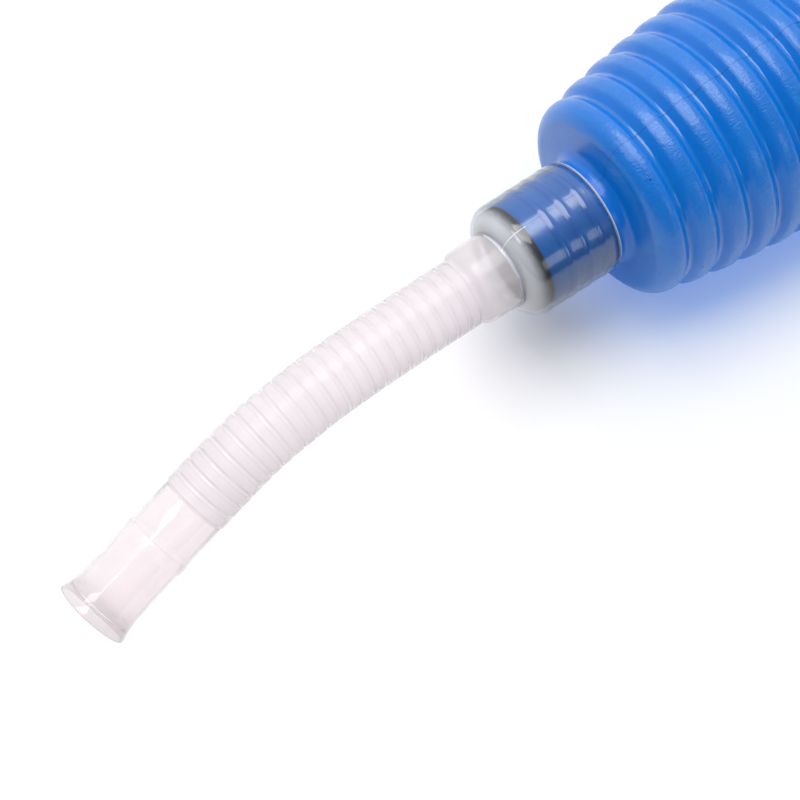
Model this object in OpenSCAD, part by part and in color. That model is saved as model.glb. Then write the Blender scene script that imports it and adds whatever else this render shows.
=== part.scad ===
// Bellows siphon pump: a barrel of soft folds between two ringed necks, a check valve in each
// neck, and a clear collar that carries a short ribbed hose with a flared mouth.
// The pump lies on its side: its axis runs along X, the hose leads towards -X, the floor is z = 0.

/* [Bellows] */
// Outer radius of the two widest folds, which stand on the floor
fold_r = 42.3; // [38:0.1:52]
// Distance from one groove to the next
fold_pitch = 10.35; // [8:0.05:13]
// Number of folds between the two end bands
fold_count = 14; // [8:2:20]
// Depth of a groove below the fold crests
groove_depth = 1.95; // [1:0.05:3]
// How much smaller the radius of an end band is than that of the widest folds
barrel_drop = 8.4; // [2:0.1:11]
// Roundness of the folds: 1 is a plain wave, less gives fuller crests and narrower grooves
fold_round = 0.6; // [0.5:0.05:1.2]
// Wall of the folds and shoulders
bellows_wall = 1.6; // [1:0.1:2.2]
// Radius of the rounded shoulder in front of an end band
shoulder_r = 6.5; // [4:0.1:9]
// How far the end face leans out from the shoulder to the neck
face_lean = 0.5; // [0:0.1:2]
// How far the soft folds flatten where they rest on the floor
rest_flat = 0.5; // [0.3:0.1:1]

/* [Necks] */
// Outer radius of a neck between its ridges
neck_r = 17.5; // [16:0.1:19]
// Wall of a neck
neck_wall = 1.6; // [1.2:0.1:2.2]
// Length of a neck from the end face to its mouth
neck_len = 29.8; // [27:0.1:36]
// Radius of the fillet between a neck and the end face
neck_fillet = 3; // [1.5:0.1:3.5]
// Length of the lead-in taper at a neck's mouth
lead_len = 1.5; // [0.5:0.1:2.5]
// Depth of the lead-in taper
lead_depth = 0.5; // [0.2:0.1:0.8]
// Number of ridges round a neck
ridge_count = 3; // [2:1:4]
// Distance between ridges
ridge_pitch = 6.2; // [4:0.1:6.5]
// Distance from the end face to the first ridge
ridge_start = 10.1; // [7:0.1:12]
// Length of the flat top of a ridge
ridge_flat = 1.2; // [0.6:0.1:2]
// Length of each slope of a ridge
ridge_slope = 0.8; // [0.4:0.1:1.2]
// Height of the ridges on the intake neck, on which the collar turns
ridge_h = 0.65; // [0.3:0.05:1]
// Height of the ridges on the outlet neck, which grip a pushed-on hose
outlet_ridge_h = 1.05; // [0.3:0.05:1.3]

/* [Hose collar] */
// Radial clearance between the ridges and the collar that turns on them
collar_fit = 0.05; // [0.02:0.01:0.1]
// Wall of the clear collar
collar_wall = 0.9; // [0.7:0.1:1.5]
// Height of the swellings of the collar over the ridges
collar_swell = 0.3; // [0:0.05:0.5]
// Gap between the end face of the bellows and the collar's rim
collar_gap = 4.5; // [3.5:0.1:6]
// How far the collar reaches past the mouth of the neck
collar_reach = 8.7; // [8:0.1:14]
// Radius of the collar's rounded shoulder
collar_round = 6.6; // [3:0.1:6.8]
// Width of the moulded ring where the hose leaves the collar
ring_w = 0.8; // [0.4:0.1:1.2]
// Height of that ring above the hose cuff
ring_h = 0.3; // [0.1:0.05:0.6]

/* [Ribbed hose] */
// Outer radius of the ribs
rib_r = 11.1; // [9.5:0.1:12]
// Depth of the grooves between ribs
rib_depth = 0.7; // [0.3:0.05:1]
// Number of ribs
rib_count = 23; // [12:1:30]
// Share of a rib's pitch that its groove takes
rib_groove = 0.3; // [0.2:0.05:0.6]
// Wall of the hose below the rib grooves
hose_wall = 0.9; // [0.7:0.1:1.4]
// Outer radius of the smooth cuff next to the collar
cuff_r = 12.65; // [11.5:0.05:13]
// Length of that cuff
cuff_len = 10; // [6:0.5:14]
// Length of the taper from the cuff to the ribs
cuff_taper = 3.5; // [2:0.5:6]
// Outer radius of the smooth cuff next to the mouth
tail_r = 10.75; // [9.5:0.05:11.5]
// Length of that cuff
tail_len = 15; // [8:0.5:20]

/* [Hose mouth] */
// Bore radius of the socket behind the flared mouth
socket_r = 9.9; // [9:0.1:11]
// Wall of the socket
socket_wall = 1; // [0.8:0.1:1.6]
// Length of the socket's straight bore
socket_len = 17; // [12:0.5:24]
// Length of the bead behind the socket
bead_len = 4; // [3:0.5:6]
// Length of each slope of that bead
bead_slope = 1; // [0.5:0.1:1.4]
// Height of that bead above the socket
bead_h = 0.35; // [0.1:0.05:0.8]
// Length of the flare
flare_len = 9; // [6:0.5:12]
// How far the flare spreads beyond the socket
flare_spread = 1.4; // [0.5:0.1:3]

/* [Valves] */
// Width of the ledge round a seat's port, inside the cage
port_ledge = 5.2; // [5:0.1:7]
// How far the flap overlaps its port all round
flap_lap = 2; // [1:0.1:2.2]
// Thickness of a flap
flap_t = 1.6; // [1:0.1:2]
// Gap between a closed flap and its seat
flap_gap = 0.05; // [0.02:0.01:0.1]
// Thickness of the port wall of a seat
seat_t = 2; // [1.2:0.1:3]
// Length of a seat's cage
cage_len = 24; // [22:0.5:26]
// Wall of a seat's cage
cage_wall = 1.3; // [1:0.1:1.4]
// Clearance between a cage and the neck's bore
cage_fit = 0.1; // [0.05:0.05:0.3]
// Thickness of a seat's flange
flange_t = 1.6; // [1:0.1:2]
// How far the flange stands out past the neck's mouth all round
flange_over = 0.4; // [0.2:0.1:0.5]
// Thickness of the gasket under a flange
gasket_t = 1.2; // [0.8:0.1:1.6]
// Radius of a flap's hinge pin
pin_r = 0.8; // [0.6:0.05:1]
// Radial clearance between a pin and the flap's barrel
pin_fit = 0.05; // [0.02:0.01:0.1]
// Wall of the flap's hinge barrel
barrel_wall = 0.65; // [0.5:0.05:0.8]
// Length of the flap's hinge barrel
barrel_len = 8; // [5:0.5:9]
// Side clearance between the barrel and the ears
ear_gap = 0.3; // [0.2:0.05:0.5]
// Thickness of an ear
ear_t = 2.5; // [1.5:0.1:3]

/* [Hidden] */
$fn = 96;

// Steps of the rounded profiles
fold_steps = 12;
arc_steps = 8;
swell_step = 0.6;
// Overlap of pieces that are fused or cut
eps = 0.1;

// Height of the pump's axis: the widest folds rest on the floor
axis_z = fold_r - rest_flat;
// Places along the axis, counted from the middle of the bellows
fold_end = fold_count / 2 * fold_pitch;
band_x = fold_end + fold_pitch / 2;
// Slope of the barrel at an end band, from which the shoulder's arc goes on
band_tilt = atan(2 * barrel_drop / (band_x - fold_pitch / 2));
corner_x = band_x - shoulder_r * sin(band_tilt);
face_x = corner_x + shoulder_r + face_lean;
neck_end = face_x + neck_len;
rim_x = face_x + collar_gap;
ring_x = neck_end + collar_reach;

neck_bore = neck_r - neck_wall;
mouth_r = neck_r - lead_depth;
ridge_r = neck_r + ridge_h;
collar_bore = ridge_r + collar_fit;
collar_r = collar_bore + collar_wall;
hose_bore = rib_r - rib_depth - hose_wall;
cuff_bore = cuff_r - hose_wall;

// Route of the hose from the middle of the collar's ring to the mouth: straight out of the
// collar, sagging to the floor and a little aside, and straight into the mouth
route = [[0, 0, 0], [-12, 0, 0], [-24, 0, 0], [-33, 0, -0.1], [-42, -0.1, -0.3], [-51, -0.2, -0.6],
         [-60, -0.3, -1.1], [-68, -0.6, -1.7], [-76, -1, -2.7], [-84, -1.4, -4.1], [-91, -1.9, -5.7],
         [-98, -2.6, -7.7], [-105, -3.35, -10.2], [-113, -4.3, -13.3], [-121, -5.25, -16.4],
         [-129, -6.2, -19.5]];
hose_sides = 24;
bore_rings = 14;
tangent_step = 0.2;

// Points of an arc round [x, r], from angle a to angle b
function arc(x, r, radius, a, b) =
    [for (i = [0:arc_steps])
        let (t = a + (b - a) * i / arc_steps)
        [x + radius * cos(t), r + radius * sin(t)]];

// Radius of the barrel over the fold crests
function barrel(x) =
    fold_r - barrel_drop * pow(max(0, abs(x) - fold_pitch / 2) / (band_x - fold_pitch / 2), 2);
// Outer radius of the folds
function fold(x) = barrel(x) - groove_depth * (1 - pow(abs(sin(180 * x / fold_pitch)), fold_round));

// The same points in the other order
function backwards(points) = [for (i = [len(points) - 1:-1:0]) points[i]];

// Turns a profile of [x, radius] points round the pump's axis
module turned(profile) {
    translate([0, 0, axis_z])
        rotate([0, 90, 0])
            rotate_extrude()
                polygon([for (p = profile) [p.y, p.x]]);
}

// The same profile at the other end of the pump
module at_front(front) {
    if (front) mirror([1, 0, 0]) children();
    else children();
}

// Points of a ridge round a neck, with its top at radius top
function ridge(x, top) =
    let (edge = ridge_flat / 2, foot = edge + ridge_slope)
    [[x - foot, neck_r], [x - edge, top], [x + edge, top], [x + foot, neck_r]];

// One end of the bellows: half band, shoulder, end face, fillet and ringed neck
module end_shell(front) {
    corner_r = barrel(band_x) - shoulder_r * cos(band_tilt);
    ridge_top = front ? ridge_r : neck_r + outlet_ridge_h;
    half = [for (i = [0:fold_steps / 2]) fold_end + i * fold_pitch / fold_steps];
    outer = concat(
        [for (x = half) [x, fold(x)]],
        arc(corner_x, corner_r, shoulder_r, 90 - band_tilt, 0),
        arc(face_x + neck_fillet, neck_r + neck_fillet, neck_fillet, 180, 270),
        [for (k = [0:ridge_count - 1]) each ridge(face_x + ridge_start + k * ridge_pitch, ridge_top)],
        [[neck_end - lead_len, neck_r], [neck_end, mouth_r]]);
    inner = concat(
        [for (x = half) [x, fold(x) - bellows_wall]],
        arc(corner_x, corner_r, shoulder_r - bellows_wall, 90 - band_tilt, 0),
        arc(face_x + neck_fillet, neck_r + neck_fillet, neck_fillet + neck_wall, 180, 270),
        [[neck_end, neck_bore]]);
    at_front(front) turned(concat(outer, backwards(inner)));
}

module bellows_front() {
    color("dodgerblue") end_shell(true);
}

// The folds, flattened a little where they rest on the floor
module bellows_folds() {
    xs = [for (i = [0:fold_count * fold_steps]) -fold_end + i * fold_pitch / fold_steps];
    outer = [for (x = xs) [x, fold(x)]];
    inner = [for (x = xs) [x, fold(x) - bellows_wall]];
    color("dodgerblue") difference() {
        turned(concat(outer, backwards(inner)));
        translate([-band_x, -fold_r, -fold_r]) cube([2 * band_x, 2 * fold_r, fold_r]);
    }
}

module bellows_rear() {
    color("dodgerblue") end_shell(false);
}

// Swelling of the collar where it rides over a ridge
function swell(x) =
    let (k = round((x - face_x - ridge_start) / ridge_pitch))
    let (off = x - face_x - ridge_start - min(max(k, 0), ridge_count - 1) * ridge_pitch)
    abs(off) < ridge_pitch / 2 ? collar_swell * pow(cos(180 * off / ridge_pitch), 2) : 0;

// Clear collar: sleeve, rounded shoulder and the ring that the hose starts from
module hose_collar() {
    shoulder_x = ring_x - ring_w - collar_round;
    foot_r = collar_r - collar_round;
    steps = floor((shoulder_x - rim_x) / swell_step);
    sleeve = [for (i = [0:steps])
        let (x = rim_x + (shoulder_x - rim_x) * i / steps)
        [x, collar_r + swell(x)]];
    inside = arc(shoulder_x, foot_r, collar_round - collar_wall, 90, 0);
    color("lightsteelblue", 0.5) at_front(true) turned(concat(
        sleeve,
        arc(shoulder_x, foot_r, collar_round, 90, 0),
        [[ring_x - ring_w, cuff_r + ring_h], [ring_x, cuff_r + ring_h], [ring_x, cuff_bore]],
        [[shoulder_x + collar_round - collar_wall, cuff_bore]],
        backwards(inside),
        [[rim_x, collar_bore]]));
}

// Length of the route up to each of its points
function length_to(i) = i == 0 ? 0 : length_to(i - 1) + norm(route[i] - route[i - 1]);
lengths = [for (i = [0:len(route) - 1]) length_to(i)];
hose_len = lengths[len(route) - 1];
// Smooth curve through the route's points, at a share t of stretch i
function curve(i, t) =
    let (a = route[max(i - 1, 0)], b = route[i], c = route[i + 1], d = route[min(i + 2, len(route) - 1)])
    b + (c - a) * t / 2 + (2 * a - 5 * b + 4 * c - d) * pow(t, 2) / 2
        + (3 * b - 3 * c + d - a) * pow(t, 3) / 2;
// Place on the curve at a distance s from the collar
function along(s) =
    let (i = max([for (k = [0:len(route) - 2]) lengths[k] <= s || k == 0 ? k : 0]))
    curve(i, (s - lengths[i]) / (lengths[i + 1] - lengths[i]));
function heading(s) =
    let (d = along(min(s + tangent_step, hose_len)) - along(max(s - tangent_step, 0)))
    d / norm(d);
// Ring of points of radius r square to the route
function ring_points(s, r) =
    let (centre = along(s), ahead = heading(s), side = cross(ahead, [0, 0, 1]))
    let (across = side / norm(side), upright = cross(across, ahead))
    [for (k = [0:hose_sides - 1])
        let (a = 360 * k / hose_sides)
        centre + r * (cos(a) * across + sin(a) * upright)];
// Triangles between the ring that starts at point p and the ring that starts at point q
function band(p, q) =
    [for (k = [0:hose_sides - 1])
        let (n = (k + 1) % hose_sides)
        each [[p + k, q + n, p + n], [p + k, q + k, q + n]]];
// Triangles along a stack of rings that starts at point first
function stack(first, rings) =
    [for (j = [0:rings - 2]) each band(first + j * hose_sides, first + (j + 1) * hose_sides)];
// The same triangles facing the other way
function flipped(faces) = [for (f = faces) [f[0], f[2], f[1]]];

// Ribbed hose: cuff, ribs and tail swept along the route as one tube with its bore
module ribbed_hose() {
    first_rib = cuff_len + cuff_taper;
    rib_pitch = (hose_len - tail_len - first_rib) / rib_count;
    groove_half = rib_pitch * rib_groove / 2;
    low = rib_r - rib_depth;
    skin = concat(
        [[0, cuff_r], [cuff_len, cuff_r]],
        [for (k = [0:rib_count - 1])
            let (s = first_rib + k * rib_pitch)
            each [[s, low], [s + groove_half, rib_r], [s + rib_pitch - groove_half, rib_r]]],
        [[hose_len - tail_len, low], [hose_len - tail_len + groove_half, tail_r], [hose_len, tail_r]]);
    bore = concat(
        [[0, cuff_bore], [cuff_len, cuff_bore]],
        [for (i = [0:bore_rings - 1])
            [first_rib + (hose_len - first_rib) * i / (bore_rings - 1), hose_bore]]);
    bore_start = len(skin) * hose_sides;
    skin_end = bore_start - hose_sides;
    bore_end = bore_start + (len(bore) - 1) * hose_sides;
    points = [for (p = concat(skin, bore)) each ring_points(p[0], p[1])];
    faces = concat(
        stack(0, len(skin)),
        flipped(stack(bore_start, len(bore))),
        flipped(band(0, bore_start)),
        band(skin_end, bore_end));
    color("whitesmoke", 0.7)
        translate([-ring_x, 0, axis_z])
            polyhedron(points, faces);
}

// Flared mouth with its socket and bead, turned round its own axis and set on the hose's end
module hose_mouth() {
    socket_out = socket_r + socket_wall;
    flare_from = bead_len + socket_len;
    tip = flare_from + flare_len;
    bead_out = socket_out + bead_h;
    lip = socket_wall / 2;
    curl = [for (i = [0:arc_steps])
        let (t = i / arc_steps)
        [flare_spread * t * t, flare_from + (flare_len - lip) * t]];
    out = route[len(route) - 1] - route[len(route) - 2];
    turn = atan2(out.y, out.x);
    dip = acos(out.z / norm(out));
    outside = concat(
        [[tail_r, 0], [bead_out, bead_slope], [bead_out, bead_len - bead_slope], [socket_out, bead_len]],
        [for (p = curl) [socket_out + p.x, p.y]],
        [[socket_out + flare_spread - lip, tip]]);
    inside = concat(
        [[hose_bore, 0], [hose_bore, bead_len - bead_slope], [socket_r, bead_len]],
        [for (p = curl) [socket_r + p.x, p.y]]);
    color("whitesmoke", 0.7)
        translate([-ring_x, 0, axis_z] + route[len(route) - 1])
            rotate([0, dip, turn])
                rotate_extrude()
                    polygon(concat(outside, backwards(inside)));
}

// Valves: the flow runs towards +X, so both flaps close against the port wall at x = 0
cage_r = neck_bore - cage_fit;
cage_bore = cage_r - cage_wall;
flange_r = mouth_r + flange_over;
port_r = cage_bore - port_ledge;
flap_r = port_r + flap_lap;
barrel_r = pin_r + pin_fit + barrel_wall;
hinge_x = seat_t + flap_gap + flap_t;
hinge_z = flap_r + barrel_wall;
intake_x = -neck_end - gasket_t - flange_t;
outlet_x = neck_end + gasket_t + flange_t - cage_len;

module along_x(x, length, r) {
    translate([x, 0, 0]) rotate([0, 90, 0]) cylinder(h = length, r = r);
}

module along_y(length, r) {
    translate([hinge_x, -length / 2, hinge_z]) rotate([-90, 0, 0]) cylinder(h = length, r = r);
}

// Ear under the cage's wall that holds one end of the hinge pin
module ear(y) {
    translate([hinge_x, y, hinge_z]) rotate([-90, 0, 0]) cylinder(h = ear_t, r = barrel_r);
    translate([0, y, hinge_z]) cube([hinge_x + barrel_r, ear_t, cage_r - hinge_z]);
}

// Seat: port wall, cage with a flange at one end, and two ears that hold the hinge pin
module valve_seat(flange_x) {
    ear_y = barrel_len / 2 + ear_gap;
    difference() {
        union() {
            difference() {
                union() {
                    along_x(0, cage_len, cage_r);
                    along_x(flange_x, flange_t, flange_r);
                }
                along_x(seat_t, cage_len, cage_bore);
            }
            intersection() {
                along_x(0, cage_len, cage_r);
                union() {
                    ear(ear_y);
                    ear(-ear_y - ear_t);
                }
            }
        }
        along_x(-eps, seat_t + 2 * eps, port_r);
        along_y(2 * cage_r, pin_r);
    }
}

// Flap: a disc cut straight below the ears, with a tongue up to its hinge barrel
module flap() {
    back_x = seat_t + flap_gap;
    straight_z = hinge_z - barrel_r - ear_gap;
    difference() {
        union() {
            difference() {
                along_x(back_x, flap_t, flap_r);
                translate([back_x - eps, -flap_r, straight_z])
                    cube([flap_t + 2 * eps, 2 * flap_r, flap_r]);
            }
            translate([back_x, -barrel_len / 2, 0]) cube([flap_t, barrel_len, hinge_z]);
            along_y(barrel_len, barrel_r);
        }
        along_y(2 * barrel_len, pin_r + pin_fit);
    }
}

module hinge_pin() {
    along_y(barrel_len + 2 * ear_gap + 2 * ear_t, pin_r);
}

module gasket() {
    difference() {
        along_x(0, gasket_t, flange_r);
        along_x(-eps, gasket_t + 2 * eps, neck_bore);
    }
}

module intake_gasket() {
    color("dimgray") translate([intake_x + flange_t, 0, axis_z]) gasket();
}

module intake_seat() {
    color("black") translate([intake_x, 0, axis_z]) valve_seat(0);
}

module intake_flap() {
    color("dimgray") translate([intake_x, 0, axis_z]) flap();
}

module intake_pin() {
    color("silver") translate([intake_x, 0, axis_z]) hinge_pin();
}

module outlet_gasket() {
    color("dimgray") translate([neck_end, 0, axis_z]) gasket();
}

module outlet_seat() {
    color("black") translate([outlet_x, 0, axis_z]) valve_seat(cage_len - flange_t);
}

module outlet_flap() {
    color("dimgray") translate([outlet_x, 0, axis_z]) flap();
}

module outlet_pin() {
    color("silver") translate([outlet_x, 0, axis_z]) hinge_pin();
}

hose_mouth();
ribbed_hose();
hose_collar();
bellows_front();
bellows_folds();
bellows_rear();
intake_gasket();
intake_seat();
intake_flap();
intake_pin();
outlet_gasket();
outlet_seat();
outlet_flap();
outlet_pin();
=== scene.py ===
import math

import bpy
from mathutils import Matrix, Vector


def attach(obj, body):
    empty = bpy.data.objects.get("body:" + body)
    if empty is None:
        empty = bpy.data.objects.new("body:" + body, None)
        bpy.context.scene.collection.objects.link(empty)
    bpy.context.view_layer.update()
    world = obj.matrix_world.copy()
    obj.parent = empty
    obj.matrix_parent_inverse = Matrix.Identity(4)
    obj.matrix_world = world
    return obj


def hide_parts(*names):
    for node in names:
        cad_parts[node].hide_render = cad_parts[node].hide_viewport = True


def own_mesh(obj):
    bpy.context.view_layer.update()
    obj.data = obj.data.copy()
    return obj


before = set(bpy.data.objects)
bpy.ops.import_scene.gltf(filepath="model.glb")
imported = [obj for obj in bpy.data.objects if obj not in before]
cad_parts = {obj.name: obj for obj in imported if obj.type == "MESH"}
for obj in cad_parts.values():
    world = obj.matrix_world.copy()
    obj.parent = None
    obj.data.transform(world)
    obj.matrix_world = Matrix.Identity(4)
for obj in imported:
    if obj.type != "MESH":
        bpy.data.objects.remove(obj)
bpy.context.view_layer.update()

scene = bpy.context.scene
scene.view_settings.view_transform = "Standard"

# Studio: the pump lies on a wide white table, seen steeply from above the hose's side. A large soft box
# hangs over it, a smaller one lights the hose, a weak one stands low on the near side, and a white
# sweep behind the table fades into a dim room on the camera's side.
camera_way = Vector((0.26833, 0.36651, -0.89088))
camera_data = bpy.data.cameras.new("camera")
camera_data.sensor_fit = "HORIZONTAL"
camera_data.sensor_width = 36.0
camera_data.lens = 97.875
camera_data.clip_end = 50.0
camera = bpy.data.objects.new("camera", camera_data)
scene.collection.objects.link(camera)
camera.location = (-0.34411, -0.25398, 0.61464)
camera.rotation_euler = camera_way.to_track_quat("-Z", "Y").to_euler()
scene.camera = camera
lamps_aim = Vector((-0.05, 0.0, 0.04))


def soft_box(name, towards, distance, width, height, watts):
    """A rectangular lamp that looks at the pump from a direction."""
    lamp_data = bpy.data.lights.new(name, "AREA")
    lamp_data.shape = "RECTANGLE"
    lamp_data.size = width
    lamp_data.size_y = height
    lamp_data.energy = watts
    lamp = bpy.data.objects.new(name, lamp_data)
    scene.collection.objects.link(lamp)
    out = Vector(towards).normalized()
    lamp.location = lamps_aim + out * distance
    lamp.rotation_euler = (-out).to_track_quat("-Z", "Y").to_euler()


soft_box("key_soft_box", (0.06, 0.15, 0.98), 1.3, 0.9, 0.9, 9.6)
soft_box("hose_soft_box", (-0.70, 0.20, 1.21), 1.41, 0.6, 0.35, 2.4)
soft_box("near_soft_box", (0.27, -0.86, 0.43), 1.5, 0.35, 0.45, 0.8)


def feed(tree, source, socket):
    """Links a socket to another node's output, or sets it to a plain value."""
    if isinstance(source, bpy.types.NodeSocket):
        tree.links.new(source, socket)
    else:
        socket.default_value = source


def ramp(tree, value, start, end, low=0.0, high=1.0, kind="LINEAR"):
    """A value that runs from low to high while another one runs from start to end."""
    node = tree.nodes.new("ShaderNodeMapRange")
    node.interpolation_type = kind
    sockets = ("Value", "From Min", "From Max", "To Min", "To Max")
    for socket, source in zip(sockets, (value, start, end, low, high)):
        feed(tree, source, node.inputs[socket])
    return node.outputs["Result"]


def reckon(tree, operation, first, second=0.0):
    """The result of a sum on one or two values."""
    node = tree.nodes.new("ShaderNodeMath")
    node.operation = operation
    feed(tree, first, node.inputs[0])
    feed(tree, second, node.inputs[1])
    return node.outputs[0]


def measure(tree, operation, place, other=(0.0, 0.0, 0.0)):
    """One number from a place: its length, its distance from another or its dot product with one."""
    node = tree.nodes.new("ShaderNodeVectorMath")
    node.operation = operation
    tree.links.new(place, node.inputs[0])
    node.inputs[1].default_value = other
    return node.outputs["Value"]


world = bpy.data.worlds.new("white_room")
scene.world = world
world.use_nodes = True
room = world.node_tree
room_light = room.nodes["Background"]
room_light.inputs["Color"].default_value = (1.0, 1.0, 1.0, 1.0)
room_path = room.nodes.new("ShaderNodeLightPath").outputs
room_way = room.nodes.new("ShaderNodeTexCoord").outputs["Generated"]
sweep_way = Vector((0.45, 0.85, 0.1)).normalized()
room_behind = measure(room, "DOT_PRODUCT", room_way, sweep_way)


def sweep_level(dim, bright):
    """Strength of the room: dim on the camera's side, bright where the white sweep stands."""
    return ramp(room, room_behind, -0.5, 0.7, dim, bright, "SMOOTHSTEP")


def room_mix(switch, off, on):
    """One strength of the room or another, by a switch."""
    mix = room.nodes.new("ShaderNodeMix")
    for socket, source in ((0, switch), (2, off), (3, on)):
        feed(room, source, mix.inputs[socket])
    return mix.outputs[0]


# White where the camera looks, straight or through clear plastic, and the sweep in lighting and gloss.
room_straight = reckon(room, "LESS_THAN", room_path["Diffuse Depth"], 0.5)
room_through = reckon(room, "MULTIPLY", room_straight, room_path["Is Transmission Ray"])
room_seen = reckon(room, "MAXIMUM", room_path["Is Camera Ray"], room_through)
room_lit = room_mix(room_path["Is Glossy Ray"], sweep_level(0.3, 0.75), sweep_level(0.08, 1.0))
room.links.new(room_mix(room_seen, room_lit, 1.0), room_light.inputs["Strength"])


def set_skin(material, values):
    """Sets plain values on a material's Principled shader, and returns the shader's sockets."""
    skin = material.node_tree.nodes["Principled BSDF"].inputs
    for socket, value in values.items():
        skin[socket].default_value = value
    return skin


bpy.ops.object.select_all(action="DESELECT")
bpy.ops.mesh.primitive_plane_add(size=12.0, location=(0.0, 0.0, 0.0))
table = bpy.context.object
table.name = "white_table"
table_white = bpy.data.materials.new("table_white")
table_white.use_nodes = True
table_paint = set_skin(table_white, {
    "Base Color": (0.94, 0.94, 0.94, 1.0), "Roughness": 0.9, "Specular IOR Level": 0.0,
    "Emission Color": (1.0, 1.0, 1.0, 1.0)})
# The table glows a little where it is looked at, and more far out, so that it runs into the white room.
table_tree = table_white.node_tree
table_path = table_tree.nodes.new("ShaderNodeLightPath").outputs
table_place = table_tree.nodes.new("ShaderNodeTexCoord").outputs["Object"]
table_seen = reckon(table_tree, "MAXIMUM", table_path["Is Camera Ray"], table_path["Is Transmission Ray"])
table_away = measure(table_tree, "LENGTH", table_place)
table_far = ramp(table_tree, table_away, 0.5, 2.0, 0.07, 0.6, "SMOOTHSTEP")
table_glow = reckon(table_tree, "MULTIPLY", table_seen, table_far)
table_tree.links.new(table_glow, table_paint["Emission Strength"])
table.data.materials.append(table_white)

# Ribbed hose: a short tube of soft milky plastic with a smooth cuff, 23 moulded ribs and a smooth tail.
# It is blow moulded in one shot with the collar and the mouth, and hangs from the collar in one bend.
RING_X = -0.1216567
AXIS_Z = 0.0418
PARTING = math.radians(93.9)
MM = 0.001
hose_route = [
    (0.0, 0.0, 0.0), (-12.0, 0.0, 0.0), (-24.0, 0.0, 0.0), (-33.0, 0.0, -0.1),
    (-42.0, -0.1, -0.3), (-51.0, -0.2, -0.6), (-60.0, -0.3, -1.1), (-68.0, -0.6, -1.7),
    (-76.0, -1.0, -2.7), (-84.0, -1.4, -4.1), (-91.0, -1.9, -5.7), (-98.0, -2.6, -7.7),
    (-105.0, -3.35, -10.2), (-113.0, -4.3, -13.3), (-121.0, -5.25, -16.4), (-129.0, -6.2, -19.5)]
hose_start = Vector((RING_X, 0.0, AXIS_Z))
hose_points = [hose_start + Vector(p) * MM for p in hose_route]
hose_tip = hose_points[-1]
route_steps = 8
hose_path = []
for i in range(len(hose_points) - 1):
    a = hose_points[max(i - 1, 0)]
    b = hose_points[i]
    c = hose_points[i + 1]
    d = hose_points[min(i + 2, len(hose_points) - 1)]
    for step in range(route_steps):
        t = step / route_steps
        hose_path.append(
            b + (c - a) * (t / 2) + (2 * a - 5 * b + 4 * c - d) * (t ** 2 / 2)
            + (3 * b - 3 * c + d - a) * (t ** 3 / 2))
hose_path.append(hose_tip)
hose_len = sum((q - p).length for p, q in zip(hose_path, hose_path[1:]))
mouth_way = (hose_tip - hose_points[-2]).normalized()

hose_wall = 0.0009
cuff_r, cuff_len, cuff_taper = 0.01265, 0.0100, 0.0035
cuff_lip, cuff_lip_len, cuff_sink = 0.0002, 0.0012, 0.00005
rib_r, rib_depth, rib_count = 0.0111, 0.00026, 23
tail_r, tail_len, tail_step, tail_end = 0.01075, 0.0150, 0.0001, 0.004
cuff_foot = cuff_r - cuff_lip
rib_from = cuff_len + cuff_taper
rib_pitch = (hose_len - tail_len - rib_from) / rib_count
rib_end = rib_from + rib_pitch * rib_count
# As parts of a rib's pitch, from the middle of a groove: the groove, the bead on its edge and the gloss.
groove_half = 0.13
edge_at, edge_half, edge_h = 0.18, 0.05, 0.00007
gloss_at, gloss_half, smooth_gloss = 0.15, 0.13, 0.4
rib_phases = (0.0, 0.04, 0.08, 0.11, 0.135, 0.16, 0.18, 0.2, 0.225, 0.26, 0.34, 0.42, 0.5, 0.58, 0.66,
              0.74, 0.775, 0.8, 0.82, 0.84, 0.865, 0.89, 0.92, 0.96)


def spun(name, section, sides, lift=0.0, crease=40):
    """A wall whose closed section of (x, radius) points is drawn by extruding a point, and spun round X."""
    bpy.ops.object.select_all(action="DESELECT")
    bpy.ops.mesh.primitive_plane_add(size=0.001, location=(0.0, 0.0, 0.0))
    piece = bpy.context.object
    piece.name = name
    piece.data.name = name
    places = [Vector((x, r * math.cos(PARTING), r * math.sin(PARTING))) for x, r in section]
    bpy.ops.object.mode_set(mode="EDIT")
    bpy.ops.mesh.select_mode(type="VERT")
    bpy.ops.mesh.merge(type="CENTER")
    bpy.ops.transform.translate(value=places[0])
    for here, there in zip(places, places[1:] + places[:1]):
        bpy.ops.mesh.extrude_vertices_move(TRANSFORM_OT_translate={"value": there - here})
    bpy.ops.mesh.select_all(action="SELECT")
    bpy.ops.mesh.remove_doubles(threshold=1e-6)
    bpy.ops.mesh.select_all(action="SELECT")
    bpy.ops.mesh.spin(steps=sides, angle=2 * math.pi, center=(0.0, 0.0, 0.0), axis=(1.0, 0.0, 0.0))
    bpy.ops.mesh.select_all(action="SELECT")
    bpy.ops.mesh.remove_doubles(threshold=1e-6)
    bpy.ops.mesh.select_all(action="SELECT")
    bpy.ops.mesh.normals_make_consistent(inside=False)
    bpy.ops.transform.translate(value=(0.0, 0.0, lift))
    bpy.ops.object.mode_set(mode="OBJECT")
    bpy.ops.object.shade_smooth_by_angle(angle=math.radians(crease))
    return piece


def eased(t):
    """Runs from 0 to 1 with a soft start and a soft end."""
    return t * t * (3.0 - 2.0 * t)


def rib_radius(phase):
    """Outer radius along one rib's pitch: a rounded groove, a fine bead on its edge and a flat rib."""
    off = min(phase, 1.0 - phase)
    if off < groove_half:
        return rib_r - rib_depth * (1.0 - (off / groove_half) ** 2) ** 2
    return rib_r + edge_h * eased(max(0.0, 1.0 - abs(off - edge_at) / edge_half))


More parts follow.
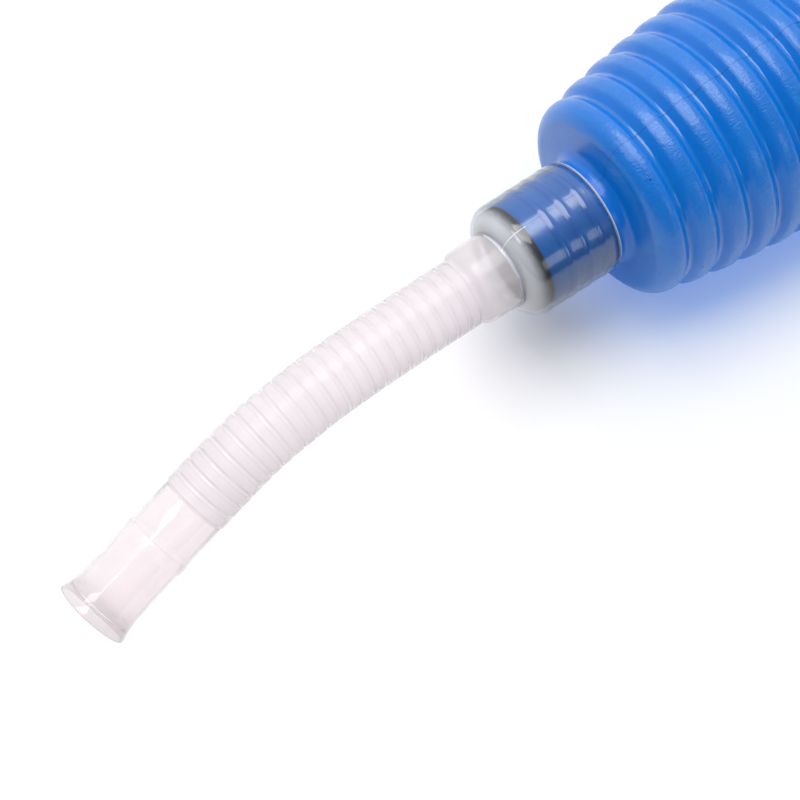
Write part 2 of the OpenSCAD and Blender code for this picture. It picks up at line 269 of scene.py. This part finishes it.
hose_skin = [(0.0, cuff_r + cuff_lip), (cuff_lip_len, cuff_r), (cuff_len * 0.6, cuff_r - cuff_sink),
             (cuff_len, cuff_foot)]
hose_skin += [(cuff_len + cuff_taper * t, cuff_foot - (cuff_foot - rib_r + rib_depth) * eased(t))
              for t in (0.2, 0.4, 0.6, 0.8)]
hose_skin += [(rib_from + rib_pitch * (k + p), rib_radius(p)) for k in range(rib_count) for p in rib_phases]
hose_skin += [(rib_end, rib_r - rib_depth), (rib_end + rib_pitch * 0.05, tail_r - tail_step),
              (rib_end + rib_pitch * groove_half, tail_r), (hose_len - tail_end, tail_r), (hose_len, tail_r)]
hose_lining = [(s, r - hose_wall) for s, r in hose_skin[::2] + hose_skin[-1:]]
hose = spun("ribbed_hose_tube", hose_skin + hose_lining[::-1], 64)
polish = hose.data.attributes.new("polish", "FLOAT", "POINT")
for v, shine in zip(hose.data.vertices, polish.data):
    phase = ((v.co.x - rib_from) / rib_pitch) % 1.0
    edge = max(0.0, 1.0 - abs(min(phase, 1.0 - phase) - gloss_at) / gloss_half)
    shine.value = edge if rib_from < v.co.x < rib_end else smooth_gloss

# The straight tube is laid along its route, which runs on straight through the mouth.
route_data = bpy.data.curves.new("hose_route", "CURVE")
route_data.dimensions = "3D"
route_data.twist_mode = "Z_UP"
route_line = route_data.splines.new("POLY")
route_stops = hose_path + [hose_tip + mouth_way * (3 * MM * k) for k in range(1, 12)]
route_line.points.add(len(route_stops) - 1)
for stop, place in zip(route_line.points, route_stops):
    stop.co = (*place, 1.0)
route_curve = bpy.data.objects.new("hose_route", route_data)
scene.collection.objects.link(route_curve)


def laid_on_route(piece):
    """Bends a straight piece of the hose along the route."""
    bend = piece.modifiers.new("route", "CURVE")
    bend.object = route_curve
    bend.deform_axis = "POS_X"
    bpy.ops.object.select_all(action="DESELECT")
    piece.select_set(True)
    bpy.context.view_layer.objects.active = piece
    bpy.ops.object.modifier_apply(modifier=bend.name)


laid_on_route(hose)

# Grain: the fine unevenness of moulded plastic, as a tone and a height, and a few specks of dust.
grain = bpy.data.node_groups.new("moulded_grain", "ShaderNodeTree")
for socket, kind in (("Scale", "NodeSocketFloat"), ("Stretch", "NodeSocketVector")):
    grain.interface.new_socket(socket, in_out="INPUT", socket_type=kind)
for socket in ("Tone", "Height", "Specks"):
    grain.interface.new_socket(socket, in_out="OUTPUT", socket_type="NodeSocketFloat")
grain_in = grain.nodes.new("NodeGroupInput").outputs
grain_out = grain.nodes.new("NodeGroupOutput").inputs
grain_place = grain.nodes.new("ShaderNodeTexCoord").outputs["Object"]
grain_stretch = grain.nodes.new("ShaderNodeVectorMath")
grain_stretch.operation = "MULTIPLY"
grain.links.new(grain_place, grain_stretch.inputs[0])
grain.links.new(grain_in["Stretch"], grain_stretch.inputs[1])


def unevenness(place, scale, detail):
    """A noise over the places of a surface."""
    noise = grain.nodes.new("ShaderNodeTexNoise")
    for socket, source in (("Vector", place), ("Scale", scale), ("Detail", detail)):
        feed(grain, source, noise.inputs[socket])
    return noise.outputs["Fac"]


dust = grain.nodes.new("ShaderNodeTexVoronoi")
dust.inputs["Scale"].default_value = 95.0
grain.links.new(grain_place, dust.inputs["Vector"])
grain.links.new(unevenness(grain_place, 60.0, 2.0), grain_out["Tone"])
grain.links.new(unevenness(grain_stretch.outputs[0], grain_in["Scale"], 3.0), grain_out["Height"])
grain.links.new(ramp(grain, dust.outputs["Distance"], 0.02, 0.035, 1.0, 0.0), grain_out["Specks"])


def tinted(tree, factor, under, over):
    """A colour that goes from one to another by a factor."""
    mix = tree.nodes.new("ShaderNodeMix")
    mix.data_type = "RGBA"
    for socket, source in (("Factor", factor), ("A", under), ("B", over)):
        feed(tree, source, mix.inputs[socket])
    return mix.outputs["Result"]


def moulded(name, dark, light, rough, grain_scale, bump_depth, stretch=(1.0, 1.0, 1.0)):
    """A moulded plastic: two close tones of one colour, a roughness range and a fine bumpy grain."""
    material = bpy.data.materials.new(name)
    material.use_nodes = True
    tree = material.node_tree
    skin = tree.nodes["Principled BSDF"].inputs
    fine = tree.nodes.new("ShaderNodeGroup")
    fine.name = "grain"
    fine.node_tree = grain
    fine.inputs["Scale"].default_value = grain_scale
    fine.inputs["Stretch"].default_value = stretch
    tone = tinted(tree, fine.outputs["Tone"], (*dark, 1.0), (*light, 1.0))
    tone.node.name = "tone"
    gloss = ramp(tree, fine.outputs["Height"], 0.0, 1.0, *rough)
    gloss.node.name = "gloss"
    bump = tree.nodes.new("ShaderNodeBump")
    bump.name = "bump"
    bump.inputs["Strength"].default_value = 1.0
    bump.inputs["Distance"].default_value = bump_depth
    tree.links.new(fine.outputs["Height"], bump.inputs["Height"])
    tree.links.new(tone, skin["Base Color"])
    tree.links.new(gloss, skin["Roughness"])
    tree.links.new(bump.outputs["Normal"], skin["Normal"])
    return material


def stored(tree, name):
    """The value that each point of a piece holds under a name."""
    attribute = tree.nodes.new("ShaderNodeAttribute")
    attribute.attribute_name = name
    return attribute.outputs["Fac"]


def lets_lamps_through(material, tint):
    """Lamp light passes the wall with a tint, as it does through thin see-through plastic."""
    tree = material.node_tree
    path = tree.nodes.new("ShaderNodeLightPath")
    clear = tree.nodes.new("ShaderNodeBsdfTransparent")
    clear.inputs["Color"].default_value = (*tint, 1.0)
    mix = tree.nodes.new("ShaderNodeMixShader")
    tree.links.new(path.outputs["Is Shadow Ray"], mix.inputs["Fac"])
    tree.links.new(tree.nodes["Principled BSDF"].outputs["BSDF"], mix.inputs[1])
    tree.links.new(clear.outputs["BSDF"], mix.inputs[2])
    tree.links.new(mix.outputs["Shader"], tree.nodes["Material Output"].inputs["Surface"])


milky_light = (0.975, 0.965, 0.97)
milky = moulded("milky_hose", (0.865, 0.832, 0.85), (0.905, 0.872, 0.89), (0.08, 0.16), 900.0, 0.00002)
milky_skin = set_skin(milky, {"Transmission Weight": 0.7, "IOR": 1.15, "Coat Roughness": 0.1})
milky_tree = milky.node_tree
milky_coat = ramp(milky_tree, stored(milky_tree, "polish"), 0.0, 1.0, 0.06, 1.0)
milky_tree.links.new(milky_coat, milky_skin["Coat Weight"])
lets_lamps_through(milky, milky_light)
hose.data.materials.append(milky)
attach(hose, "hose")
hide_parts("ribbed_hose")

# Hose mouth: the thin end of the same moulding, with a bead, a smooth socket for a push-in tube, a ring
# inside and a flared lip. Its own axis runs straight on from the hose's tail.
socket_r, socket_wall, socket_len = 0.0099, 0.0010, 0.0170
bead_len, bead_slope, bead_h = 0.0040, 0.0010, 0.00035
flare_len, flare_spread, flare_steps, flare_tone_len = 0.0090, 0.0014, 12, 0.0065
socket_out = socket_r + socket_wall
socket_mid = bead_len + socket_len * 0.5
flare_from = bead_len + socket_len
lip = socket_wall / 2
lip_x = flare_from + flare_len - lip
throat_x, throat_r, throat_w = flare_from + 0.0050, 0.0089, 0.0008
throat_mid_r = (socket_r + throat_r) / 2
throat_back, throat_front = throat_x - throat_w, throat_x + throat_w


def arc(x, r, radius, a, b, n):
    """Points on an arc round (x, r), from one angle to another."""
    turns = [math.radians(a + (b - a) * k / n) for k in range(n + 1)]
    return [(x + radius * math.cos(t), r + radius * math.sin(t)) for t in turns]


flare = [(flare_from + (flare_len - lip) * k / flare_steps, flare_spread * (k / flare_steps) ** 2)
         for k in range(flare_steps + 1)]
mouth_skin = [(0.0, tail_r), (bead_slope * 0.5, socket_out + bead_h * 0.6),
              (bead_slope, socket_out + bead_h), (bead_len / 2, socket_out + bead_h),
              (bead_len - bead_slope, socket_out + bead_h * 0.9),
              (bead_len - bead_slope * 0.5, socket_out + bead_h * 0.3), (bead_len, socket_out),
              (socket_mid, socket_out)]
mouth_skin += [(x, socket_out + r) for x, r in flare]
mouth_skin += arc(lip_x, socket_r + flare_spread + lip, lip, 60, -60, 4)
mouth_lining = [(0.0, tail_r - hose_wall), (bead_len - bead_slope, tail_r - hose_wall),
                (bead_len, socket_r), (socket_mid, socket_r)]
mouth_lining += [(x, socket_r + r) for x, r in flare if x < throat_back]
mouth_lining += [(throat_back, socket_r + 0.0003), (throat_x - throat_w * 0.7, throat_mid_r),
                 (throat_x - throat_w * 0.3, throat_r), (throat_x + throat_w * 0.3, throat_r),
                 (throat_x + throat_w * 0.7, throat_mid_r), (throat_front, socket_r + 0.0005)]
mouth_lining += [(x, socket_r + r) for x, r in flare if x > throat_front]
mouth = spun("hose_mouth_socket", [(x + hose_len, r) for x, r in mouth_skin + mouth_lining[::-1]], 96)
laid_on_route(mouth)
bpy.data.objects.remove(route_curve)


def place_along(tree, way):
    """How far along a direction each place of a piece lies."""
    place = tree.nodes.new("ShaderNodeTexCoord").outputs["Object"]
    return measure(tree, "DOT_PRODUCT", place, way)


def turns_to(material, way, start, end, colour):
    """Lets a material's colour run into another one between two places along a direction."""
    tree = material.node_tree
    far = ramp(tree, place_along(tree, way), start, end)
    run = tinted(tree, far, tree.nodes["tone"].outputs["Result"], (*colour, 1.0))
    tree.links.new(run, tree.nodes["Principled BSDF"].inputs["Base Color"])


thin = moulded("thin_mouth", (0.93, 0.885, 0.90), (0.965, 0.925, 0.94), (0.06, 0.12), 900.0, 0.00002)
set_skin(thin, {"Transmission Weight": 0.78, "IOR": 1.22, "Coat Weight": 0.8, "Coat Roughness": 0.08})
flare_start = hose_tip.dot(mouth_way) + flare_from
turns_to(thin, mouth_way, flare_start, flare_start + flare_tone_len, (0.79, 0.745, 0.76))
lets_lamps_through(thin, milky_light)
mouth.data.materials.append(thin)
# The smooth tail of the hose is as thin and clear as the mouth.
hose.data.materials.append(thin)
for face in hose.data.polygons:
    if (face.center - hose_tip).dot(mouth_way) > groove_half * rib_pitch - tail_len:
        face.material_index = 1
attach(mouth, "hose")
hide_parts("hose_mouth")

# Collar: the clear end of the hose moulding. It is stretched over the three ridges of the neck, which
# show as soft swellings, and its rounded shoulder runs down to a moulded ring at the hose's cuff.
FACE_X = -0.0831567
RIM_X = -0.0876567
NECK_END = -0.1129567
ridge_from, ridge_pitch, ridge_count = 0.0101, 0.0062, 3
collar_bore, collar_wall, collar_round = 0.0182, 0.0009, 0.0066
swell_h, swell_half = 0.00013, 0.0015
tuck_depth, tuck_len = 0.0005, 0.0045
ring_w, ring_h = 0.0008, 0.0003
sleeve_from, sleeve_steps = RIM_X - 0.0006, 72
collar_r = collar_bore + collar_wall
rim_r = collar_r - tuck_depth
inner_round = collar_round - collar_wall
shoulder_x = RING_X + ring_w + collar_round
foot_r = collar_r - collar_round
cuff_bore = cuff_r - hose_wall


def sleeve_radius(x):
    """Outer radius of the sleeve: swollen over the ridges and tucked in at its rim."""
    rise = 0.0
    for k in range(ridge_count):
        off = abs(x - (FACE_X - ridge_from - ridge_pitch * k))
        if off < swell_half:
            rise = swell_h * math.cos(math.pi * off / (2 * swell_half)) ** 2
    tuck = max(0.0, 1.0 - (RIM_X - x) / tuck_len)
    return collar_r + rise - tuck_depth * tuck * tuck


sleeve = [sleeve_from + (shoulder_x - sleeve_from) * k / sleeve_steps for k in range(sleeve_steps + 1)]
collar_skin = [(RIM_X, rim_r - 0.0003), (RIM_X - 0.00012, rim_r - 0.0001), (RIM_X - 0.00045, rim_r)]
collar_skin += [(x, sleeve_radius(x)) for x in sleeve[:-1]]
collar_skin += arc(shoulder_x, foot_r, collar_round, 90, 180, 15)
collar_skin += [(RING_X + ring_w * 1.2, cuff_r - ring_h), (RING_X + ring_w, cuff_r + ring_h * 0.4),
                (RING_X + ring_w * 0.85, cuff_r + ring_h * 1.2),
                (RING_X + ring_w * 0.5, cuff_r + ring_h * 1.6),
                (RING_X + ring_w * 0.15, cuff_r + ring_h * 1.2), (RING_X, cuff_r + ring_h * 0.3)]
collar_lining = [(RIM_X, rim_r - collar_wall)]
collar_lining += [(x, sleeve_radius(x) - collar_wall) for x in sleeve[::2]]
collar_lining += arc(shoulder_x, foot_r, inner_round, 96, 180, 14)
collar_lining += [(shoulder_x - inner_round, cuff_bore), (RING_X, cuff_bore)]
collar = spun("clear_hose_collar", collar_skin + collar_lining[::-1], 128, AXIS_Z)

clear_light = (0.93, 0.93, 0.95)
clear = moulded("clear_collar", (0.29, 0.325, 0.345), (0.32, 0.355, 0.375), (0.03, 0.06), 700.0, 0.00001)
set_skin(clear, {"Transmission Weight": 0.97, "IOR": 1.04, "Coat Weight": 1.0, "Coat IOR": 1.75,
                 "Coat Roughness": 0.15})
turns_to(clear, (1.0, 0.0, 0.0), NECK_END - 0.0008, NECK_END - 0.0050, (0.72, 0.725, 0.74))
lets_lamps_through(clear, clear_light)
bare = moulded("clear_lining", (0.84, 0.86, 0.90), (0.88, 0.90, 0.93), (0.03, 0.06), 700.0, 0.00001)
set_skin(bare, {"Transmission Weight": 1.0, "IOR": 1.04})
lets_lamps_through(bare, (0.97, 0.97, 0.98))
# Near-white frosted finish: on the cut rim it is a painted highlight for the bright line of light on its
# edge.
frost_and_rim_highlight = moulded("frosted_edge_and_rim_highlight", (0.88, 0.93, 0.98), (0.92, 0.96, 1.0), (0.3, 0.45), 900.0, 0.00002)
CLEAR, BARE, FROST_AND_RIM_HIGHLIGHT = range(3)
for finish in (clear, bare, frost_and_rim_highlight):
    collar.data.materials.append(finish)
# The faces of the lining look in at the axis, or back from inside the shoulder.
for face in collar.data.polygons:
    out = Vector((0.0, face.center.y, face.center.z - AXIS_Z)).normalized()
    looks_in = face.normal.dot(out) < -0.05
    looks_back = face.normal.x > 0.3 and face.center.x < RIM_X - 0.002
    face.material_index = BARE if looks_in or looks_back else CLEAR

pump_axis = Vector((0.0, 0.0, AXIS_Z))
parting_side = Vector((0.0, -math.sin(PARTING), math.cos(PARTING)))


def off_parting(place):
    """How far a place lies to one side of the plane between the two mould halves."""
    return (place - pump_axis).dot(parting_side)


def parting_line(piece, height):
    """The two mould halves leave a fine raised line along the top and the bottom of the piece."""
    bpy.ops.object.select_all(action="DESELECT")
    piece.select_set(True)
    bpy.context.view_layer.objects.active = piece
    bpy.ops.object.mode_set(mode="EDIT")
    bpy.ops.mesh.select_mode(type="EDGE")
    bpy.ops.mesh.select_all(action="DESELECT")
    bpy.ops.object.mode_set(mode="OBJECT")
    on_line = [abs(off_parting(v.co)) < 1e-6 for v in piece.data.vertices]
    for edge in piece.data.edges:
        edge.select = on_line[edge.vertices[0]] and on_line[edge.vertices[1]]
    bpy.ops.object.mode_set(mode="EDIT")
    bpy.ops.mesh.bevel(offset=0.0003, segments=4, affect="EDGES")
    bpy.ops.mesh.select_mode(type="VERT")
    bpy.ops.mesh.select_all(action="DESELECT")
    bpy.ops.object.mode_set(mode="OBJECT")
    for v in piece.data.vertices:
        v.select = abs(off_parting(v.co)) < 2e-6
    bpy.ops.object.mode_set(mode="EDIT")
    bpy.ops.transform.shrink_fatten(value=height)
    bpy.ops.object.mode_set(mode="OBJECT")


parting_line(collar, 0.00004)
# The cut rim is frosted and painted near white, a painted highlight for the bright line of light on its
# edge; one edge of the parting line on the shoulder is frosted the same way.
rim_highlight_from, frost_half = RIM_X - 0.00046, 0.00016
for face in collar.data.polygons:
    on_seam = 0.0 < off_parting(face.center) < frost_half and face.material_index == CLEAR
    if face.center.x > rim_highlight_from or (on_seam and face.center.x < NECK_END):
        face.material_index = FROST_AND_RIM_HIGHLIGHT
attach(collar, "hose")
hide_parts("hose_collar")

# Milky lining: past the neck's end the collar's unstretched wall is cloudy, more so towards the ring.
# It is the inner face of the same moulding, made here as a thin skin of its own.
milk_from, milk_full, milk_alpha = NECK_END - 0.0003, RING_X + 0.0010, 0.82
milk_in, milk_thick = 0.00004, 0.00012


def milk_wall(depth):
    """Points of the lining at a depth below the collar's inner wall, from the neck's end to the ring."""
    r = inner_round - depth
    wall = [(milk_from, collar_bore - depth)] + arc(shoulder_x, foot_r, r, 90, 180, 15)
    return wall + [(shoulder_x - r, cuff_bore - depth), (RING_X, cuff_bore - depth)]


milk_section = milk_wall(milk_in) + milk_wall(milk_in + milk_thick)[::-1]
milk_lining = spun("milky_collar_lining", milk_section, 128, AXIS_Z)
milk = moulded("milky_shoulder", (0.86, 0.87, 0.90), (0.93, 0.94, 0.96), (0.2, 0.3), 700.0, 0.00001)
milk_tree = milk.node_tree
milk_level = ramp(milk_tree, place_along(milk_tree, (1.0, 0.0, 0.0)), milk_from - 0.0009, milk_full,
                  0.0, milk_alpha, "SMOOTHSTEP")
milk_tree.links.new(milk_level, milk_tree.nodes["Principled BSDF"].inputs["Alpha"])
lets_lamps_through(milk, clear_light)
milk_lining.data.materials.append(milk)
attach(milk_lining, "hose")
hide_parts("hose_collar")

# Front end of the bellows: half a fold, a rounded shoulder, the end face and the intake neck with three
# low ridges. It is the front of one blow moulding of blue polyethylene.
FOLD_END, FOLD_PITCH = 0.07245, 0.01035
fold_r, groove_depth, barrel_drop = 0.0423, 0.00195, 0.0084
bellows_wall, bellows_sides, end_crease, bellows_line = 0.0016, 160, 28, 0.00006
shoulder_r, face_lean = 0.0065, 0.0005
neck_r, neck_wall, neck_fillet, neck_len = 0.0175, 0.0016, 0.0030, 0.0298
intake_ridge, outlet_ridge = 0.00065, 0.00105
fold_mid = FOLD_PITCH / 2
band_x, half_fold = FOLD_END + fold_mid, 0.45
band_tilt = math.atan(2 * barrel_drop / (band_x - fold_mid))
corner_x = band_x - shoulder_r * math.sin(band_tilt)
# A ridge's section, as steps along the neck and parts of its height, and the rounded mouth of the neck.
ridge_shape = ((-0.0014, 0.0), (-0.0010, 0.5), (-0.0006, 1.0), (0.0006, 1.0), (0.0010, 0.5), (0.0014, 0.0))
mouth_round = ((0.0015, 0.0), (0.0003, 0.0004), (0.0, 0.0006))
fold_phases = [0.0, 0.015, 0.03, 0.05, 0.08, 0.12, 0.16, 0.2, 0.24, 0.27, 0.3, 0.33, 0.37, 0.42, 0.48, 0.54,
               0.6, 0.66, 0.7, 0.74, 0.78, 0.82, 0.86, 0.9, 0.935, 0.965, 0.985]
# Depth of a fold's section below the barrel, from groove to groove: a plain flank, a broad crest, a short
# drop and a hollow that runs out into the next groove.
fold_shape = [(0.0, 1.0), (0.02, 0.985), (0.05, 0.88), (0.15, 0.52), (0.24, 0.19), (0.29, 0.07),
              (0.36, 0.012), (0.46, 0.0), (0.58, 0.03), (0.66, 0.11), (0.73, 0.28), (0.8, 0.53),
              (0.86, 0.75), (0.91, 0.91), (0.945, 0.975), (1.0, 1.0)]
fold_chords = [(d1 - d0) / (p1 - p0) for (p0, d0), (p1, d1) in zip(fold_shape, fold_shape[1:])]
fold_slopes = [0.0]
fold_slopes += [2 * c0 * c1 / (c0 + c1) if c0 * c1 > 0 else 0.0
                for c0, c1 in zip(fold_chords, fold_chords[1:])]
fold_slopes.append(0.0)


def barrel(x):
    """Radius of the barrel that the crests of the folds touch."""
    rise = max(0.0, abs(x) - fold_mid) / (band_x - fold_mid)
    return fold_r - barrel_drop * rise ** 2


def fold(x):
    """Outer radius of the folds, on a smooth curve through the points of a fold's section."""
    phase = ((x + FOLD_END) / FOLD_PITCH + 1e-9) % 1.0
    i = max(k for k, (p, d) in enumerate(fold_shape[:-1]) if p <= phase)
    (p0, d0), (p1, d1) = fold_shape[i], fold_shape[i + 1]
    span = p1 - p0
    t = (phase - p0) / span
    drop = (2 * t ** 3 - 3 * t ** 2 + 1) * d0 + (3 * t ** 2 - 2 * t ** 3) * d1
    drop += ((t ** 3 - 2 * t ** 2 + t) * fold_slopes[i] + (t ** 3 - t ** 2) * fold_slopes[i + 1]) * span
    return barrel(x) - groove_depth * drop


def end_section(ridge_h, way):
    """Section of a bellows end, from the last groove over the shoulder to the neck's mouth and back."""
    face_x = corner_x + shoulder_r + face_lean
    mouth_x = face_x + neck_len
    corner_r = barrel(band_x) - shoulder_r * math.cos(band_tilt)
    turn = 90 - math.degrees(band_tilt)
    steps = fold_phases if way > 0 else [0.0] + [1.0 - p for p in fold_phases[:0:-1]]
    half = [FOLD_END + FOLD_PITCH * p for p in steps if p < half_fold]
    skin = [(x, fold(way * x)) for x in half] + arc(corner_x, corner_r, shoulder_r, turn, 0, 14)
    skin += arc(face_x + neck_fillet, neck_r + neck_fillet, neck_fillet, 180, 270, 8)
    for k in range(ridge_count):
        x = face_x + ridge_from + ridge_pitch * k
        skin += [(x + step, neck_r + ridge_h * part) for step, part in ridge_shape]
    skin += [(mouth_x - back, neck_r - drop) for back, drop in mouth_round]
    lining = [(x, fold(way * x) - bellows_wall) for x in half[::3]]
    lining += arc(corner_x, corner_r, shoulder_r - bellows_wall, turn, 0, 6)
    lining += arc(face_x + neck_fillet, neck_r + neck_fillet, neck_fillet + neck_wall, 180, 270, 5)
    lining += [(mouth_x, neck_r - neck_wall)]
    return [(way * x, r) for x, r in skin + lining[::-1]]


front = spun("bellows_front_end", end_section(intake_ridge, -1), bellows_sides, AXIS_Z, end_crease)
parting_line(front, bellows_line)

blue = moulded("blue_bellows", (0.002, 0.176, 0.655), (0.004, 0.202, 0.715), (0.05, 0.27), 1700.0, 0.00025,
               stretch=(0.3, 1.0, 1.0))
blue_skin = set_skin(blue, {
    "Specular IOR Level": 0.4, "Coat Roughness": 0.16, "Subsurface Weight": 0.4,
    "Subsurface Radius": (0.1, 0.5, 1.0), "Subsurface Scale": 0.004})
chalk_colour, chalk_most = (0.02, 0.22, 0.66, 1.0), 0.35
# Colour of the dust specks and nicks, and of the painted shade along the parting line, and how much of that
# shade the crests keep.
dirt_and_seam_shade_colour, seam_dark, crest_seam_shade = (0.003, 0.045, 0.20, 1.0), 0.9, 0.42
seam_core, seam_edge = 0.00010, 0.00022
groove_coat = 0.6
blue_tree = blue.node_tree
blue_place = blue_tree.nodes.new("ShaderNodeTexCoord").outputs["Object"]
worn = stored(blue_tree, "wear")
shiny = stored(blue_tree, "polish")
scuff = reckon(blue_tree, "MULTIPLY", worn, blue_tree.nodes["grain"].outputs["Height"])
chalky = tinted(blue_tree, reckon(blue_tree, "MULTIPLY", scuff, chalk_most),
                blue_tree.nodes["tone"].outputs["Result"], chalk_colour)
# Three small nicks among the specks: two on the front shoulder and one low on the first fold.
dirt_and_seam_shade = blue_tree.nodes["grain"].outputs["Specks"]
for place, size in (((-0.0779, -0.0154, 0.0719), 0.00045), ((-0.0757, -0.0142, 0.0731), 0.0004),
                    ((-0.0693, -0.0357, 0.0403), 0.0006)):
    away = measure(blue_tree, "DISTANCE", blue_place, place)
    dirt_and_seam_shade = reckon(blue_tree, "MAXIMUM", dirt_and_seam_shade, ramp(blue_tree, away, size * 0.5, size, 1.0, 0.0))
# Painted shade: a dark line along the parting line, most in the grooves, for the shade where the raised line
# breaks the highlights.
from_axis = blue_tree.nodes.new("ShaderNodeVectorMath")
from_axis.operation = "SUBTRACT"
from_axis.inputs[1].default_value = pump_axis
blue_tree.links.new(blue_place, from_axis.inputs[0])
seam_off = measure(blue_tree, "DOT_PRODUCT", from_axis.outputs[0], parting_side)
seam = ramp(blue_tree, reckon(blue_tree, "ABSOLUTE", seam_off), seam_core, seam_edge, seam_dark, 0.0)
seam_shade = reckon(blue_tree, "MULTIPLY", seam, ramp(blue_tree, shiny, 0.0, 1.0, crest_seam_shade, 1.0))
dirt_and_seam_shade = reckon(blue_tree, "MAXIMUM", dirt_and_seam_shade, seam_shade)
# Specks, nicks and the painted seam shade darken the base colour.
blue_tree.links.new(tinted(blue_tree, dirt_and_seam_shade, chalky, dirt_and_seam_shade_colour), blue_skin["Base Color"])
# Rubbed crests are rough with glossy spots, and the bottoms of the grooves stay glossy.
blue_tree.links.new(scuff, blue_tree.nodes["bump"].inputs["Height"])
blue_tree.links.new(worn, blue_tree.nodes["gloss"].inputs["Value"])
gloss_spots = reckon(blue_tree, "MAXIMUM", scuff, reckon(blue_tree, "MULTIPLY", shiny, groove_coat))
blue_tree.links.new(gloss_spots, blue_skin["Coat Weight"])
lets_lamps_through(blue, (0.47, 0.68, 0.87))
# Parts of a groove's depth down to which the folds are rubbed and from which they are glossy, the least
# wear on the ends, and the part of the end face's height at which it is worn most.
rub_depth, polish_depth, polish_run, end_wear, worn_height = 0.6, 0.88, 0.1, 0.3, 0.8


def bellows_piece(piece, node, body):
    """Stores how worn and how glossy each point of a bellows piece is, and finishes the piece."""
    wear, polish = [], []
    for v in piece.data.vertices:
        r = math.hypot(v.co.y, v.co.z - AXIS_Z)
        if abs(v.co.x) < band_x:
            drop = (barrel(v.co.x) - r) / groove_depth
            wear.append(min(1.0, max(0.0, 1.0 - drop / rub_depth)))
            polish.append(min(1.0, max(0.0, (drop - polish_depth) / polish_run)))
        else:
            wear.append(min(1.0, max(end_wear, (r - neck_r) / (worn_height * (fold_r - neck_r)))))
            polish.append(0.0)
    for name, values in (("wear", wear), ("polish", polish)):
        piece.data.attributes.new(name, "FLOAT", "POINT").data.foreach_set("value", values)
    piece.data.materials.append(blue)
    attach(piece, body)
    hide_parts(node)


bellows_piece(front, "bellows_front", "pump")

# Folds: the thin, soft middle of the same moulding, fourteen rounded folds with narrow grooves on a
# barrel. The widest ones rest on the table and flatten a little there.
fold_count = 14
fold_stops = [-FOLD_END + FOLD_PITCH * (k + p) for k in range(fold_count) for p in fold_phases] + [FOLD_END]
fold_skin = [(x, fold(x)) for x in fold_stops]
fold_lining = [(x, fold(x) - bellows_wall) for x in fold_stops[::3]]
folds = spun("bellows_folds_barrel", fold_skin + fold_lining[::-1], bellows_sides, AXIS_Z)
parting_line(folds, bellows_line)
for v in folds.data.vertices:
    v.co.z = max(v.co.z, 0.0)
bellows_piece(folds, "bellows_folds", "pump")
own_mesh(folds)

# Rear end of the bellows: the other end of the same moulding, whose neck has higher ridges to grip an
# outlet hose.
rear = spun("bellows_rear_end", end_section(outlet_ridge, 1), bellows_sides, AXIS_Z, end_crease)
parting_line(rear, bellows_line)
bellows_piece(rear, "bellows_rear", "rear_end")

# Check valves: a black moulded seat in each neck, clamped on a rubber gasket, with a rubber flap on a
# steel wire pin. They are pushed in from the mouth of the neck.
seat_black = moulded("valve_seat_black", (0.010, 0.011, 0.013), (0.020, 0.021, 0.024), (0.35, 0.5), 1500.0,
                     0.00003)
rubber_black = moulded("valve_rubber", (0.012, 0.012, 0.013), (0.024, 0.024, 0.026), (0.6, 0.8), 2200.0,
                       0.00005)
pin_steel = moulded("drawn_wire", (0.45, 0.45, 0.47), (0.62, 0.62, 0.64), (0.22, 0.38), 1800.0, 0.00001,
                    stretch=(1.0, 0.1, 1.0))
set_skin(pin_steel, {"Metallic": 1.0})
valve_finishes = {"gasket": rubber_black, "seat": seat_black, "flap": rubber_black, "pin": pin_steel}
for end in ("intake", "outlet"):
    for piece, finish in valve_finishes.items():
        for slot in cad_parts[end + "_" + piece].material_slots:
            slot.material = finish

bpy.ops.object.select_all(action="DESELECT")
